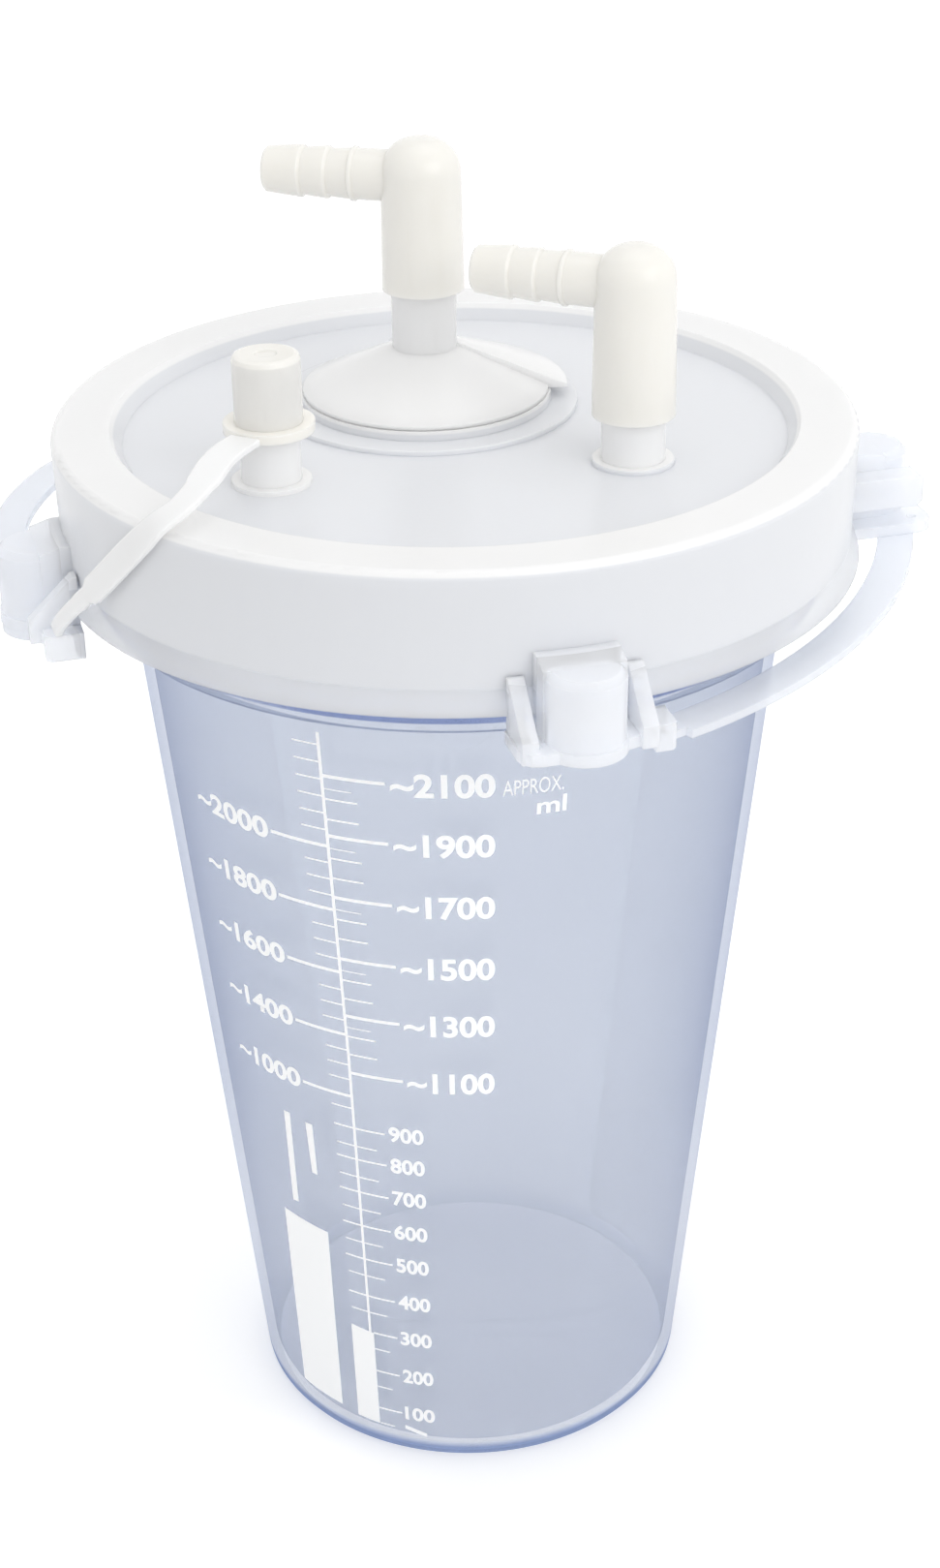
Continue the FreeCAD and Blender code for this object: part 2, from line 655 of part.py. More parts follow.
def make_elbow(port, spigot_radius, spigot_top):
    """A swivelling elbow: a drafted sleeve with a round top, and a barb on +X, bored through."""
    name = port + "_elbow"
    bottom = name + "_bottom"
    corner = "%s_corner - %s" % (name, bottom)
    body = new_body(name)
    sleeve = new_sketch(body, name + "_sleeve_section", "XZ_Plane")
    narrow = name + "_radius - elbow_draft"
    draw_outline(sleeve, [
        ("0", "0"),
        (name + "_radius", "0"),
        (narrow, "%s + %s" % (corner, narrow)),
        ("0", "%s + %s" % (corner, narrow)),
    ])
    revolve(body, name + "_sleeve", sleeve)
    crown_radius = value(name + "_radius") - value("elbow_draft")
    crown_top = value(name + "_corner") - value(bottom) + crown_radius
    round_edges(body, name + "_crown", narrow + " - gate_radius",
                lambda edge: is_ring(edge, crown_radius, crown_top))
    barb = new_sketch(body, name + "_barb_section", "XZ_Plane")
    draw_outline(barb, barb_outline(corner))
    turned = body.newObject("PartDesign::Revolution", name + "_barb")
    turned.Profile = barb
    turned.ReferenceAxis = (barb, ["Edge1"])
    turned.Angle = 360
    swivel = new_sketch(body, name + "_swivel_plan", "XY_Plane")
    draw_circle(swivel, "0", "0", spigot_radius + " + swivel_clearance")
    pocket(body, name + "_swivel_bore", swivel, "%s - %s + seat_gap" % (spigot_top, bottom), upwards=True)
    riser = new_sketch(body, name + "_riser_plan", "XY_Plane")
    draw_circle(riser, "0", "0", "barb_bore_radius")
    pocket(body, name + "_riser", riser, corner, upwards=True)
    duct = new_sketch(body, name + "_duct_section", "YZ_Plane", "barb_reach")
    draw_circle(duct, "0", corner, "barb_bore_radius")
    pocket(body, name + "_duct", duct, "barb_reach")
    stand_at(body, port + "_distance", port + "_azimuth", bottom, name + "_azimuth")
    return body


vacuum_elbow = make_elbow("vacuum", "vacuum_spigot_radius", "vacuum_spigot_top")
patient_elbow = make_elbow("patient", "patient_spigot_radius", "patient_spigot_top")


def make_cap(name, distance, azimuth, height, flange):
    """A thimble cap that is open below, with a flange and a small dimple on top."""
    body = new_body(name)
    section = new_sketch(body, name + "_section", "XZ_Plane")
    cavity = "tandem_spigot_radius + cap_clearance"
    draw_outline(section, [
        (cavity, "0"),
        (flange, "0"),
        (flange, "cap_flange_thickness"),
        ("cap_radius", "cap_flange_thickness"),
        ("cap_radius", "cap_height - 1.1"),
        ("cap_radius - 0.4", "cap_height - 0.3"),
        ("cap_radius - 1.2", "cap_height"),
        ("2.4", "cap_height"),
        ("2.0", "cap_height - 0.35"),
        ("0", "cap_height - 0.35"),
        ("0", "cap_height - cap_top_thickness"),
        (cavity, "cap_height - cap_top_thickness"),
    ])
    revolve(body, name + "_shell", section)
    stand_at(body, distance, azimuth, height)
    return body


# Caps: one is on the tandem spigot, and three are parked in lugs, pushed up from below.

tandem_cap = make_cap("tandem_cap", "tandem_distance", "tandem_azimuth", "tandem_flange_height",
                      "cap_flange_radius")
PARKS = [("right_cap", "right_lug_distance", 1), ("back_cap", "lug_distance", 2),
         ("left_cap", "lug_distance", 3)]
caps = [make_cap(name, distance, "lug_azimuth + %d * 90" % turns, "parked_height",
                 "parked_flange_radius")
        for name, distance, turns in PARKS]

# Straps: flat bands that run round the lid from a lug's foot to the flange of the cap in the
# next lug, with a narrow neck at each end.


def strap_arc(body, name, arc, radius, width, trims):
    """A flat band along one arc of a bow, shortened by a length at either end."""
    sketch = new_sketch(body, name + "_section", "XZ_Plane")
    upright = FreeCAD.Rotation(FreeCAD.Vector(0, 1, 0), 1)
    sketch.AttachmentOffset = FreeCAD.Placement(FreeCAD.Vector(), upright)
    sketch.setExpression("AttachmentOffset.Base.x", sized(arc + "_x"))
    sketch.setExpression("AttachmentOffset.Base.z", sized("0 - %s_y" % arc))
    first, last = ("%s / %s * 180 / pi" % (trim, radius) for trim in trims)
    sketch.setExpression("AttachmentOffset.Rotation.Angle", sized("%s_start + %s" % (arc, first)))
    draw_outline(sketch, [
        ("%s - %s / 2" % (radius, width), "0"),
        ("%s + %s / 2" % (radius, width), "0"),
        ("%s + %s / 2" % (radius, width), "strap_thickness"),
        ("%s - %s / 2" % (radius, width), "strap_thickness"),
    ])
    return revolve(body, name, sketch, "%s_sweep - %s - %s" % (arc, first, last))


def make_strap(start, bow, turns, cap_distance):
    """A strap along its bow, cut clear of the lug's foot and of the parked cap."""
    name = start + "_strap"
    body = new_body(name + "_band")
    if bow == "taut":
        arcs = [(start + "_bow", start + "_bow_radius", ("neck_length", "neck_length"))]
    else:
        arcs = [(start + "_loop", start + "_loop_radius", ("neck_length", "0")),
                (start + "_bow", start + "_bow_radius", ("0", "neck_length"))]
    for arc, radius, trims in arcs:
        strap_arc(body, arc + "_neck", arc, radius, "neck_width", ("0", "0"))
        strap_arc(body, arc + "_length", arc, radius, "strap_width", trims)
    lug = "( lug_azimuth + %d * 90 )" % turns
    stand_at(body, "0", "0", "parked_height", lug)
    foot = doc.addObject("Part::Box", name + "_foot_room")
    foot.setExpression("Length", sized("lug_distance + strap_width"))
    foot.setExpression("Width", sized("foot_end + strap_gap"))
    foot.setExpression("Height", sized("strap_thickness * 3"))
    stand_at(foot, "0", "0", "parked_height - strap_thickness", lug)
    cap = doc.addObject("Part::Cylinder", name + "_cap_room")
    cap.setExpression("Radius", sized("parked_flange_radius + strap_gap"))
    cap.setExpression("Height", sized("strap_thickness * 3"))
    stand_at(cap, cap_distance, "( lug_azimuth + %d * 90 )" % (turns + 1),
             "parked_height - strap_thickness")
    rooms = doc.addObject("Part::MultiFuse", name + "_rooms")
    rooms.Shapes = [foot, cap]
    strap = doc.addObject("Part::Cut", name)
    strap.Base = body
    strap.Tool = rooms
    strap.Label = name
    return strap


straps = [make_strap(start, bow, turns, cap_distance)
          for turns, (start, bow, cap_distance) in enumerate(STRAPS)]

# Tandem strap: pulled up from the left lug's foot, over the lid's edge, to the cap on the
# tandem spigot. Each station is a place on its middle line and the way that its face looks.


def make_band(name, stations, thickness):
    """A flat band through stations of middle point, face direction and width."""
    wires = []
    for i, (middle, face, width) in enumerate(stations):
        before = stations[max(i - 1, 0)][0]
        after = stations[min(i + 1, len(stations) - 1)][0]
        across = face.cross(after - before).normalize() * (width / 2)
        out = FreeCAD.Vector(face).normalize() * (thickness / 2)
        near, far = middle + out, middle - out
        corners = [near + across, near - across, far - across, far + across]
        wires.append(Part.makePolygon(corners + corners[:1]))
    band = doc.addObject("Part::Feature", name)
    band.Shape = Part.makeLoft(wires, True, True)
    band.Label = name
    return band


def polar(distance, azimuth, height):
    angle = math.radians(azimuth)
    return FreeCAD.Vector(distance * math.cos(angle), distance * math.sin(angle), height)


def facing(azimuth, lift):
    """A direction that looks outwards at an azimuth, lifted from level by an angle."""
    return polar(math.cos(math.radians(lift)), azimuth, math.sin(math.radians(lift)))


foot_across = (value("foot_start") + value("foot_end")) / 2
foot_distance = math.hypot(foot_across, value("tandem_foot_distance"))
foot_turn = math.degrees(math.atan2(foot_across, value("tandem_foot_distance")))
foot_azimuth = value("lug_azimuth") + 270 + foot_turn
foot_top = value("lug_bottom") + value("foot_rise")
slant = value("tandem_crossing") - foot_azimuth


def by_edge(outside, below, share, lift=0):
    """A place by the lid's top edge, a share of the way from the crossing to the foot."""
    azimuth = value("tandem_crossing") - share * slant
    place = polar(value("lid_radius") + outside, azimuth, value("lid_top_height") - below)
    return place, facing(azimuth, lift)


port = polar(value("tandem_distance"), value("tandem_azimuth"), 0)
leave = value("tandem_leave")
flange_reach = value("cap_flange_radius") + value("strap_gap")
flange_middle = value("tandem_flange_height") + value("cap_flange_thickness") / 2
tab_end = flange_reach + value("tandem_tab_length")
tab_width = value("tandem_tab_width")
width = value("tandem_strap_width")
thickness = value("tandem_strap_thickness")
foot_width = value("foot_end") - value("foot_start") - 0.4
tandem_strap = make_band("tandem_strap", [
    (port + polar(flange_reach, leave, flange_middle), facing(leave, 90), tab_width),
    (port + polar(tab_end, leave, flange_middle - 0.8), facing(leave, 86), tab_width),
    (port + polar(tab_end + 0.6, leave, flange_middle - 0.9), facing(leave, 86), width),
    (*by_edge(-4, -1.3 - thickness, -0.09, 75), width),
    (*by_edge(-0.4, -0.4 - thickness, 0, 48), width),
    (*by_edge(1.8, 3, 0.1, 14), width),
    (*by_edge(2, 12, 0.38), width),
    (*by_edge(3, 20.4, 0.66), width),
    (*by_edge(3.6, 21.6, 0.72), foot_width),
    (polar(foot_distance, foot_azimuth, foot_top + 2.4), facing(foot_azimuth, 0), foot_width),
    (polar(foot_distance, foot_azimuth, foot_top + 0.3), facing(foot_azimuth, 0), foot_width),
], thickness)

# Every step has to have worked, and every piece has to be a sound solid, before any is written.

doc.recompute()
for item in doc.Objects:
    if "Invalid" in item.State or "Error" in item.State:
        raise RuntimeError("failed: %s %s" % (item.Label, item.State))

pieces = [jar, lid, housing, filter_disc, vacuum_elbow, patient_elbow, tandem_cap, tandem_strap]
pieces += caps + straps
os.makedirs("parts", exist_ok=True)
for piece in pieces:
    shape = piece.Shape
    if shape.isNull() or not shape.isValid() or not shape.Solids:
        raise RuntimeError("not a sound solid: " + piece.Label)
for piece in pieces:
    piece.Shape.exportStep("parts/%s.step" % piece.Label)
    print(piece.Label, len(piece.Shape.Solids), round(piece.Shape.Volume, 1))
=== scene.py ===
import bmesh
import bpy
import math
from mathutils import Matrix, Vector


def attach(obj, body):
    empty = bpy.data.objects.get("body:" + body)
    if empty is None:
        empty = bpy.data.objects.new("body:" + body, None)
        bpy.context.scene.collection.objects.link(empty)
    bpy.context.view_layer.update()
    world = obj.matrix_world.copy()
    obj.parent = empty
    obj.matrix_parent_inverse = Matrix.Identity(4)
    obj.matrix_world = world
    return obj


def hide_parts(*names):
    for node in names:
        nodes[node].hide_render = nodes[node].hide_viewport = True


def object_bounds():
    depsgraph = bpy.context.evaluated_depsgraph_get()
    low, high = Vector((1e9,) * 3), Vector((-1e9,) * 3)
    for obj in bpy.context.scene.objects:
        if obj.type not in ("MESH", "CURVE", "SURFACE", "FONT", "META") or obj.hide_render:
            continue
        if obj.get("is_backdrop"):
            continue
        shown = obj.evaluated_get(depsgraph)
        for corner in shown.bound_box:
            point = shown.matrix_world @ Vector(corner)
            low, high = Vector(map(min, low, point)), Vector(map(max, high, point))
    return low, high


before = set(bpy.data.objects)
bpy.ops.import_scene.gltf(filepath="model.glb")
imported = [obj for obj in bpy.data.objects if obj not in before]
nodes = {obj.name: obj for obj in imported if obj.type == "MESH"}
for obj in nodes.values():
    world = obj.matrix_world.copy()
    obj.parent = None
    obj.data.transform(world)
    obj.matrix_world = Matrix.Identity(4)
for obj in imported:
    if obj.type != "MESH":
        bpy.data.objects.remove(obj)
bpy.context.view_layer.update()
scene = bpy.context.scene
MM = 0.001

# Camera: a long portrait lens about 0.6 m from the jar, square to the printed side. It stands
# higher than the lid and looks down by 28 degrees. Its angles are in radians.

EYE = (0, -0.53864, 0.44642)
pitch, roll, yaw = 0.493875, -0.015328, 0.003734
ahead = Vector((math.sin(yaw) * math.cos(pitch), math.cos(yaw) * math.cos(pitch), -math.sin(pitch)))
level = Vector((math.cos(yaw), -math.sin(yaw), 0))
upright = level.cross(ahead)
across = level * math.cos(roll) + upright * math.sin(roll)
upwards = upright * math.cos(roll) - level * math.sin(roll)
lens = bpy.data.cameras.new("camera")
lens.lens = 61.07
lens.sensor_width = 36
lens.clip_start = 0.05
lens.clip_end = 20
camera = bpy.data.objects.new("camera", lens)
turn = Matrix((across, upwards, -ahead)).transposed()
camera.matrix_world = Matrix.Translation(EYE) @ turn.to_4x4()
scene.collection.objects.link(camera)
scene.camera = camera

# Studio: a wide white table that runs up into a white backdrop, a big soft window on the
# right in front, a weaker lamp overhead, and a white room round them.

scene.view_settings.view_transform = "Standard"


def new_material(name):
    """A material with its node tree and its main shader."""
    material = bpy.data.materials.new(name)
    material.use_nodes = True
    tree = material.node_tree
    shader = tree.nodes["Principled BSDF"]
    return material, tree, shader


def number(tree, operation, first, second):
    """A Math node on two values, each a number or the output of another node."""
    node = tree.nodes.new("ShaderNodeMath")
    node.operation = operation
    for socket, given in zip(node.inputs, (first, second)):
        if isinstance(given, (int, float)):
            socket.default_value = given
        else:
            tree.links.new(given, socket)
    return node.outputs[0]


def see_through_rays(tree):
    """A number that is 1 for rays that see the backdrop straight, in a mirror or through plastic."""
    path = tree.nodes.new("ShaderNodeLightPath")
    total = path.outputs["Is Camera Ray"]
    for kind in ("Is Glossy Ray", "Is Transmission Ray"):
        total = number(tree, "MAXIMUM", total, path.outputs[kind])
    return total


ROOM_LIGHT = 0.78
ROOM_SEEN = 1.0
PAPER_GLOW = 0.3
world = bpy.data.worlds.new("white_room")
scene.world = world
world.use_nodes = True
sky = world.node_tree.nodes["Background"]
seen = see_through_rays(world.node_tree)
strength = world.node_tree.nodes.new("ShaderNodeMapRange")
strength.inputs["To Min"].default_value = ROOM_LIGHT
strength.inputs["To Max"].default_value = ROOM_SEEN
world.node_tree.links.new(seen, strength.inputs["Value"])
world.node_tree.links.new(strength.outputs[0], sky.inputs["Strength"])
sky.inputs["Color"].default_value = (1, 1, 1, 1)

table = bmesh.new()
bmesh.ops.create_grid(table, x_segments=1, y_segments=1, size=1.6)
back = [edge for edge in table.edges if all(vertex.co.y > 1 for vertex in edge.verts)]
risen = bmesh.ops.extrude_edge_only(table, edges=back)["geom"]
bmesh.ops.translate(table, vec=(0, 0.5, 2.4), verts=[v for v in risen if isinstance(v, bmesh.types.BMVert)])
bend = [e for e in table.edges if all(abs(v.co.y - 1.6) < 0.01 and v.co.z < 0.01 for v in e.verts)]
bmesh.ops.bevel(table, geom=bend, offset=0.6, affect="EDGES", segments=12, profile=0.5, material=-1)
table_mesh = bpy.data.meshes.new("table")
table.to_mesh(table_mesh)
table.free()
for face in table_mesh.polygons:
    face.use_smooth = True
table_top = bpy.data.objects.new("table", table_mesh)
scene.collection.objects.link(table_top)
paper, tree, shader = new_material("white_paper")
shader.inputs["Base Color"].default_value = (0.93, 0.93, 0.93, 1)
shader.inputs["Roughness"].default_value = 0.9
shader.inputs["Specular IOR Level"].default_value = 0.1
shader.inputs["Emission Color"].default_value = (1, 1, 1, 1)
glow = number(tree, "MULTIPLY", see_through_rays(tree), PAPER_GLOW)
tree.links.new(glow, shader.inputs["Emission Strength"])
table_mesh.materials.append(paper)
table_top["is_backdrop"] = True


def soft_lamp(name, place, aim, size, power):
    """A wide lamp that is aimed at a place, with its size in metres and its power in watts."""
    data = bpy.data.lights.new(name, "AREA")
    data.shape = "RECTANGLE"
    data.size, data.size_y = size
    data.energy = power
    lamp = bpy.data.objects.new(name, data)
    direction = Vector(aim) - Vector(place)
    lamp.matrix_world = Matrix.Translation(place) @ direction.to_track_quat("-Z", "Y").to_matrix().to_4x4()
    scene.collection.objects.link(lamp)


soft_lamp("window", (0.75, -0.85, 0.95), (0, 0, 0.2), (1.0, 0.9), 4.5)
soft_lamp("overhead", (0.1, 0.1, 1.4), (0, 0, 0.2), (0.9, 0.9), 1.6)

# Jar: clear polystyrene with a faint blue cast, injection moulded in one shot. It has a rounded
# heel, a tapered wall, a step out to the collar under the lid and a bead round the mouth.

WALL_FOOT_RADIUS = 51.65
WALL_TOP_RADIUS = 71.5
WALL_TOP = 206.8
jar_profile = [
    (0, 0), (48.8, 0), (50.7, 0.65), (51.75, 2.1), (51.97, 3.3), (WALL_TOP_RADIUS, WALL_TOP),
    (77.9, 209.7), (79.0, 210.8), (79.2, 212.0),
    (79.2, 241.8), (82.6, 241.8), (82.9, 242.2), (82.9, 244.1), (82.6, 244.4), (77.1, 244.4), (76.8, 244.1),
    (76.8, 213.0), (76.2, 212.0), (69.9, 209.6), (69.5, 208.8),
    (49.95, 5.6), (49.2, 4.0), (47.6, 3.2), (0, 3.2),
]


def turned(name, outline, steps=160):
    """A mesh turned about the Z axis from an outline of radius and height in millimetres."""
    spun = bmesh.new()
    points = [spun.verts.new((radius * MM, 0, height * MM)) for radius, height in outline]
    chain = [spun.edges.new(pair) for pair in zip(points, points[1:])]
    bmesh.ops.spin(spun, geom=points + chain, cent=(0, 0, 0), axis=(0, 0, 1), angle=2 * math.pi,
                   steps=steps, use_merge=True)
    bmesh.ops.remove_doubles(spun, verts=spun.verts, dist=1e-7)
    bmesh.ops.recalc_face_normals(spun, faces=spun.faces)
    mesh = bpy.data.meshes.new(name)
    spun.to_mesh(mesh)
    spun.free()
    piece = bpy.data.objects.new(name, mesh)
    scene.collection.objects.link(piece)
    return piece


def smooth(piece, angle):
    """Smooth faces with sharp edges where the surface turns by more than an angle."""
    for face in piece.data.polygons:
        face.use_smooth = True
    piece.data.set_sharp_from_angle(angle=math.radians(angle))


jar = turned("clear_jar", jar_profile)
smooth(jar, 25)
clear, tree, shader = new_material("clear_polystyrene")
shader.inputs["Base Color"].default_value = (0.86, 0.89, 0.94, 1)
shader.inputs["Roughness"].default_value = 0.05
shader.inputs["IOR"].default_value = 1.45
shader.inputs["Transmission Weight"].default_value = 1.0


def mixed(tree, share, first, second):
    """Two shaders in one, the second by a share that is a number or an output."""
    node = tree.nodes.new("ShaderNodeMixShader")
    if isinstance(share, (int, float)):
        node.inputs[0].default_value = share
    else:
        tree.links.new(share, node.inputs[0])
    tree.links.new(first, node.inputs[1])
    tree.links.new(second, node.inputs[2])
    return node.outputs[0]


def glaze(tree, colour):
    """Clear plastic: light goes straight through and takes on a colour."""
    node = tree.nodes.new("ShaderNodeBsdfTransparent")
    node.inputs["Color"].default_value = colour + (1,)
    return node


def from_axis(tree, axis_x=0, axis_y=0):
    """Distance from an upright axis and height, in metres, of the place that is shaded."""
    place = tree.nodes.new("ShaderNodeTexCoord")
    split = tree.nodes.new("ShaderNodeSeparateXYZ")
    tree.links.new(place.outputs["Object"], split.inputs[0])
    aside = number(tree, "SUBTRACT", split.outputs["X"], axis_x)
    behind = number(tree, "SUBTRACT", split.outputs["Y"], axis_y)
    squares = [number(tree, "MULTIPLY", offset, offset) for offset in (aside, behind)]
    return number(tree, "SQRT", number(tree, "ADD", *squares), 0), split.outputs["Z"]


def within(tree, place, low, high, blur):
    """A share that is 1 between two places and fades out over a blur at both."""
    share = []
    for edge, sign in ((low, 1), (high, -1)):
        fade = tree.nodes.new("ShaderNodeMapRange")
        fade.inputs["From Min"].default_value = edge - sign * blur
        fade.inputs["From Max"].default_value = edge
        tree.links.new(place, fade.inputs["Value"])
        share.append(fade.outputs[0])
    return number(tree, "MULTIPLY", *share)


def by_share(tree, share, first, second):
    """A colour that goes from the first to the second by a share."""
    node = tree.nodes.new("ShaderNodeMix")
    node.data_type = "RGBA"
    node.inputs["B"].default_value = second + (1,)
    tree.links.new(share, node.inputs["Factor"])
    if isinstance(first, tuple):
        node.inputs["A"].default_value = first + (1,)
    else:
        tree.links.new(first, node.inputs["A"])
    return node.outputs["Result"]


HEEL_TOP = 0.0036
HEEL_DISTANCE = 0.0503
COLLAR_DISTANCE = 0.0716
facing = tree.nodes.new("ShaderNodeLayerWeight")
facing.inputs["Blend"].default_value = 0.5
# Painted shade: the wall's tint turns a deeper blue towards its grazing edges.
painted_edge_shade = number(tree, "POWER", facing.outputs["Facing"], 3)
side = tree.nodes.new("ShaderNodeNewGeometry")
outer = number(tree, "SUBTRACT", 1, side.outputs["Backfacing"])
distance, height = from_axis(tree)
heel = number(tree, "MULTIPLY", within(tree, height, -0.001, HEEL_TOP, 0.002), outer)
heel = number(tree, "MULTIPLY", heel, number(tree, "GREATER_THAN", distance, HEEL_DISTANCE))
round_the_ring = tree.nodes.new("ShaderNodeTexNoise")
round_the_ring.inputs["Scale"].default_value = 14
round_the_ring.inputs["Detail"].default_value = 2
where = tree.nodes.new("ShaderNodeTexCoord")
tree.links.new(where.outputs["Object"], round_the_ring.inputs["Vector"])
uneven = within(tree, round_the_ring.outputs["Fac"], 0.47, 1.0, 0.12)
proud = number(tree, "MULTIPLY", outer, number(tree, "GREATER_THAN", distance, COLLAR_DISTANCE))
# Painted light: the lower 45 mm of the wall are made lighter, to offset the jar's own shadow on the table
# seen through it.
painted_light_low = number(tree, "MULTIPLY", within(tree, height, -0.001, 0.045, 0.05), 0.4)
tint = by_share(tree, painted_edge_shade, (0.838, 0.855, 0.891), (0.62, 0.66, 0.76))
tint = by_share(tree, painted_light_low, tint, (0.90, 0.91, 0.935))
tint = by_share(tree, heel, tint, (0.22, 0.31, 0.55))
# Thin level bands round the shoulder and the collar, just under the lid's lip: a deeper tint on the slanted
# shoulder, painted shade of the lip on the collar and a thin brown line, broken unevenly round the ring.
for low, high, blur, colour, share in (
        (0.2070, 0.2084, 0.0008, (0.50, 0.58, 0.74), 0.8),
        (0.2124, 0.2136, 0.0003, (0.16, 0.24, 0.52), 0.9),
        (0.2144, 0.2147, 0.0002, (0.22, 0.17, 0.15), 0.75),
        (0.2152, 0.2168, 0.0004, (0.55, 0.62, 0.80), 0.6)):
    line = number(tree, "MULTIPLY", within(tree, height, low, high, blur), proud)
    broken = number(tree, "ADD", number(tree, "MULTIPLY", uneven, 0.5 * share), 0.5 * share)
    strength = number(tree, "MULTIPLY", line, broken)
    tint = by_share(tree, strength, tint, colour)
wall = glaze(tree, (1, 1, 1))
tree.links.new(tint, wall.inputs["Color"])
gloss = tree.nodes.new("ShaderNodeBsdfGlossy")
gloss.inputs["Roughness"].default_value = 0.05
grazing = number(tree, "POWER", facing.outputs["Facing"], 4)
strength = number(tree, "ADD", number(tree, "MULTIPLY", grazing, 0.06), 0.035)
shiny = mixed(tree, number(tree, "MULTIPLY", strength, outer), wall.outputs[0], gloss.outputs[0])
moulded = mixed(tree, 0.12, shiny, shader.outputs[0])
path = tree.nodes.new("ShaderNodeLightPath")
lit = mixed(tree, path.outputs["Is Shadow Ray"], moulded, glaze(tree, (0.98, 0.985, 0.995)).outputs[0])
tree.links.new(lit, tree.nodes["Material Output"].inputs["Surface"])
jar.data.materials.append(clear)
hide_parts("jar")
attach(jar, "jar")

# Volume scale: one colour of white ink, screen printed on the jar. Odd hundreds run down the
# right of the line and even ones down the left, with plain writing panels at the bottom left.

ink, tree, shader = new_material("white_ink")
shader.inputs["Base Color"].default_value = (0.93, 0.94, 0.95, 1)
shader.inputs["Roughness"].default_value = 0.45
shader.inputs["Emission Color"].default_value = (1, 1, 1, 1)
# The ink glows a little: painted light that brightens the print.
shader.inputs["Emission Strength"].default_value = 0.12
print_mesh = bmesh.new()


SPREAD = 0.09
SPREAD_BELOW = 116


def on_wall(azimuth, height, lift=0.1):
    """A place on the jar's outer wall, a little proud of it, from degrees and millimetres.

    The print spreads out from the front towards the foot, where the wall is narrower.
    """
    lean = 1 + SPREAD * max(0, 1 - height / SPREAD_BELOW)
    angle = math.radians(-90 + (azimuth + 90) * lean)
    radius = WALL_FOOT_RADIUS + (WALL_TOP_RADIUS - WALL_FOOT_RADIUS) * height / WALL_TOP + lift
    return Vector((radius * math.cos(angle), radius * math.sin(angle), height)) * MM


def print_patch(corners, columns=8):
    """A patch of ink between four corners of azimuth and height, low left first, anticlockwise."""
    patch = bmesh.new()
    bmesh.ops.create_grid(patch, x_segments=columns, y_segments=2, size=0.5)
    low_left, low_right, top_right, top_left = [Vector(corner) for corner in corners]
    for vertex in patch.verts:
        u, v = vertex.co.x + 0.5, vertex.co.y + 0.5
        low = low_left.lerp(low_right, u)
        top = top_left.lerp(top_right, u)
        vertex.co = on_wall(*low.lerp(top, v))
    add_print(patch)


def add_print(patch):
    """Adds a patch or a word to the print and frees it."""
    mesh = bpy.data.meshes.new("patch")
    patch.to_mesh(mesh)
    patch.free()
    print_mesh.from_mesh(mesh)
    bpy.data.meshes.remove(mesh)


def print_line(left, right, height, weight=0.55):
    """A level line between two azimuths, with its weight in millimetres."""
    low, high = height - weight / 2, height + weight / 2
    print_patch([(left, low), (right, low), (right, high), (left, high)])


def print_word(word, left, right, low, high, bold=0.03):
    """A word that fills a box of azimuths and heights on the wall."""
    font = bpy.data.curves.new("word", "FONT")
    font.body = word
    font.size = 1
    font.offset = bold
    font.resolution_u = 6
    holder = bpy.data.objects.new("word", font)
    scene.collection.objects.link(holder)
    bpy.context.view_layer.update()
    mesh = bpy.data.meshes.new_from_object(holder.evaluated_get(bpy.context.evaluated_depsgraph_get()))
    bpy.data.objects.remove(holder)
    letters = bmesh.new()
    letters.from_mesh(mesh)
    bpy.data.meshes.remove(mesh)
    xs = [v.co.x for v in letters.verts]
    ys = [v.co.y for v in letters.verts]
    for vertex in letters.verts:
        u = (vertex.co.x - min(xs)) / (max(xs) - min(xs))
        v = (vertex.co.y - min(ys)) / (max(ys) - min(ys))
        vertex.co = (u, v, 0)
    for cut in range(1, 16):
        bmesh.ops.bisect_plane(letters, geom=letters.verts[:] + letters.edges[:] + letters.faces[:],
                               plane_co=(cut / 16, 0, 0), plane_no=(1, 0, 0))
    for vertex in letters.verts:
        u, v = vertex.co.x, vertex.co.y
        vertex.co = on_wall(left + (right - left) * u, low + (high - low) * v)
    add_print(letters)


LINE = -113.7
MARK_GAP = 15.6
right_marks = {2100: 193.7, 1900: 179.0, 1700: 163.5, 1500: 147.6, 1300: 132.3, 1100: 116.5}
for volume, height in right_marks.items():
    print_line(LINE, -102.6, height, 0.8)
    print_word("~%d" % volume, -101.8, -84.4, height - 2.9, height + 2.9)
for height in (193.7, 179.0, 163.5, 147.6, 132.3):
    for share, end, weight in ((0.2, -108.5, 0.25), (0.36, -107.6, 0.45), (0.68, -107.6, 0.45)):
        print_line(LINE, end, height - MARK_GAP * share, weight)
left_marks = {2000: 176.3, 1800: 160.2, 1600: 143.9, 1400: 127.0, 1000: 109.7}
for volume, height in left_marks.items():
    print_line(-125.4, LINE, height, 0.8)
    print_word("~%d" % volume, -145.0, -126.0, height - 2.4, height + 2.8)
for step in range(30):
    height = 201.0 - 4.12 * step
    if min(abs(height - mark) for mark in left_marks.values()) > 1.5 and height > 104:
        print_line(-118.6, LINE, height, 0.4)
low_marks = {
    900: 100.6, 800: 91.5, 700: 81.8, 600: 71.6, 500: 61.3, 400: 49.7, 300: 38.1, 200: 25.7, 100: 13.3,
}
for volume, height in low_marks.items():
    print_line(-118.4 if volume > 300 else -112.8, -107.0, height, 0.5)
    print_word(str(volume), -106.2, -98.9, height - 1.9, height + 2.5)
    print_line(-118.0 if volume > 300 else -112.8, -109.0, height - 5.2, 0.4)
print_patch([(LINE - 0.3, 38), (LINE + 0.3, 38), (LINE + 0.3, 204), (LINE - 0.3, 204)], 2)
print_word("APPROX.", -83.2, -72.8, 190.9, 194.6, 0.0)
